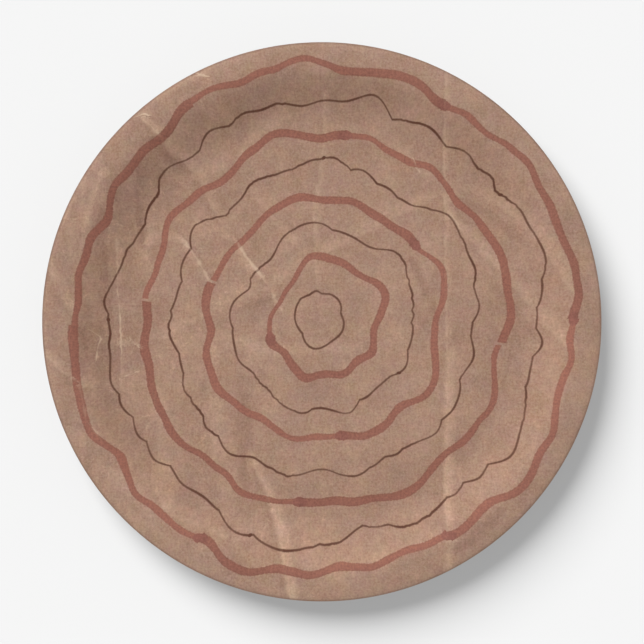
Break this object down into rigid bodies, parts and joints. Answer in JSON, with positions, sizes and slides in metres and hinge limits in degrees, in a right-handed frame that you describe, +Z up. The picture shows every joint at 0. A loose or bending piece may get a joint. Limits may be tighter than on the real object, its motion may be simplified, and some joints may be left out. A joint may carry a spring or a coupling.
{
  "type": "paper plate",
  "caption": "Round pressed paper plate with a flat well, a sloping wall and a softly drooping rim with a turned-down edge, printed on its upper face.",
  "frame": {"origin": "centre of the underside of the well, in the plane that the plate rests on", "axes": "+Z up, along the axis that the plate is turned about; +X to the right and +Y to the top of the picture"},
  "size_m": [0.2286, 0.2286, 0.0155],
  "materials": {
    "printed_board": "matte"
  },
  "bodies": {
    "root": {"plate": "printed_board"}
  },
  "joints": []
}
